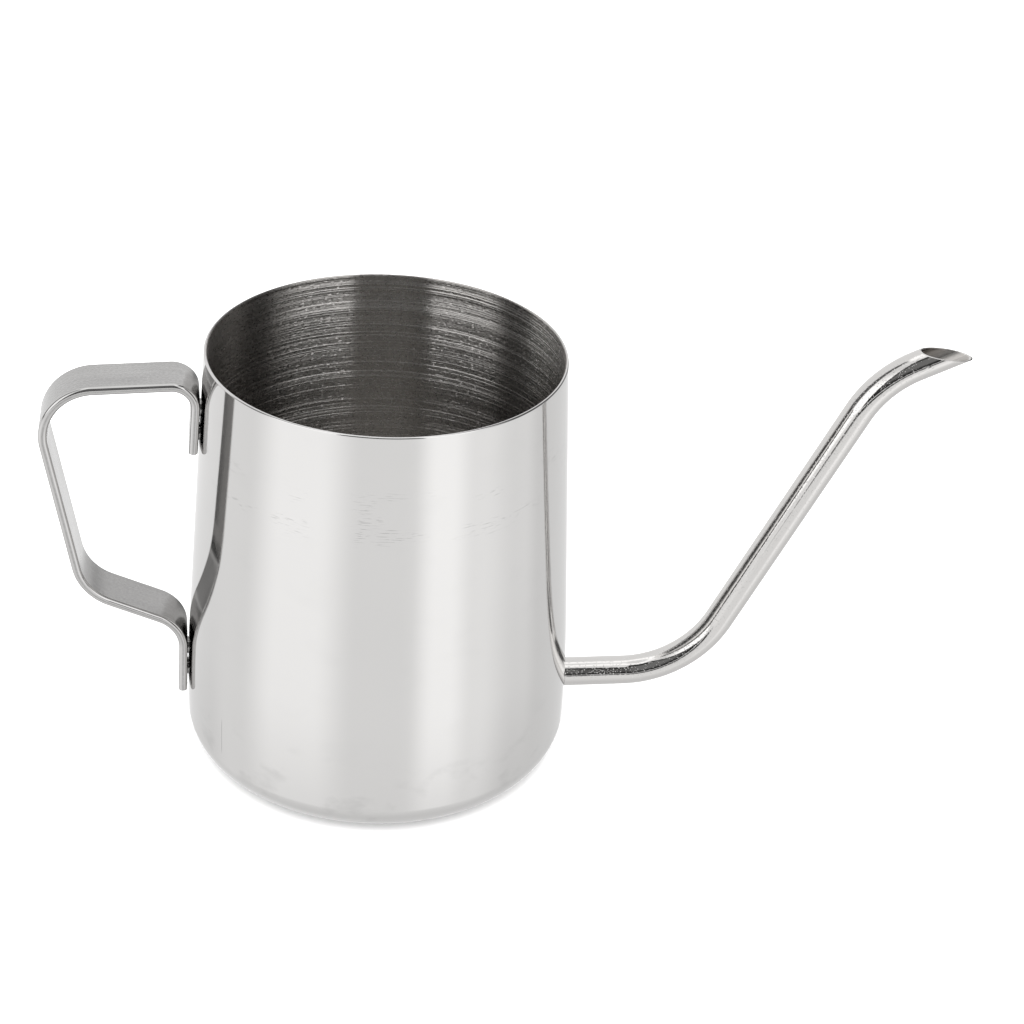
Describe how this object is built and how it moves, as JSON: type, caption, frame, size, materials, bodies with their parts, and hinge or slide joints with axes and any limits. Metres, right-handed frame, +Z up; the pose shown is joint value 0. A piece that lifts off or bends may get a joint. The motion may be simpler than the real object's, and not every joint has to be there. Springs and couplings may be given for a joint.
{
  "type": "gooseneck kettle",
  "caption": "Small open-top pour-over kettle: a tapered polished steel cup with a long low gooseneck spout and a bent flat-strip handle.",
  "frame": {"origin": "centre of the base on the resting plane, on the cup's axis", "axes": "+Z up along the cup's axis, +X from the cup towards the spout's tip, with the handle along -X; the XZ plane is the plane of symmetry"},
  "size_m": [0.2111, 0.0904, 0.1],
  "materials": {
    "polished_sheet": "mirror polished outside with faint wiping scratches, brushed round the inside",
    "polished_tube": "mirror polished, lightly drawn along its length",
    "satin_strip": "satin faces with fine lengthwise grain, polished rounded edges",
    "weld_metal": "cleaned weld metal"
  },
  "bodies": {
    "root": {"kettle_body": "polished_sheet", "spout_tube": "polished_tube", "spout_weld_bead": "weld_metal", "handle_strap": "satin_strip", "upper_spot_weld_1": "weld_metal", "upper_spot_weld_2": "weld_metal", "lower_spot_weld_1": "weld_metal", "lower_spot_weld_2": "weld_metal"}
  },
  "joints": []
}
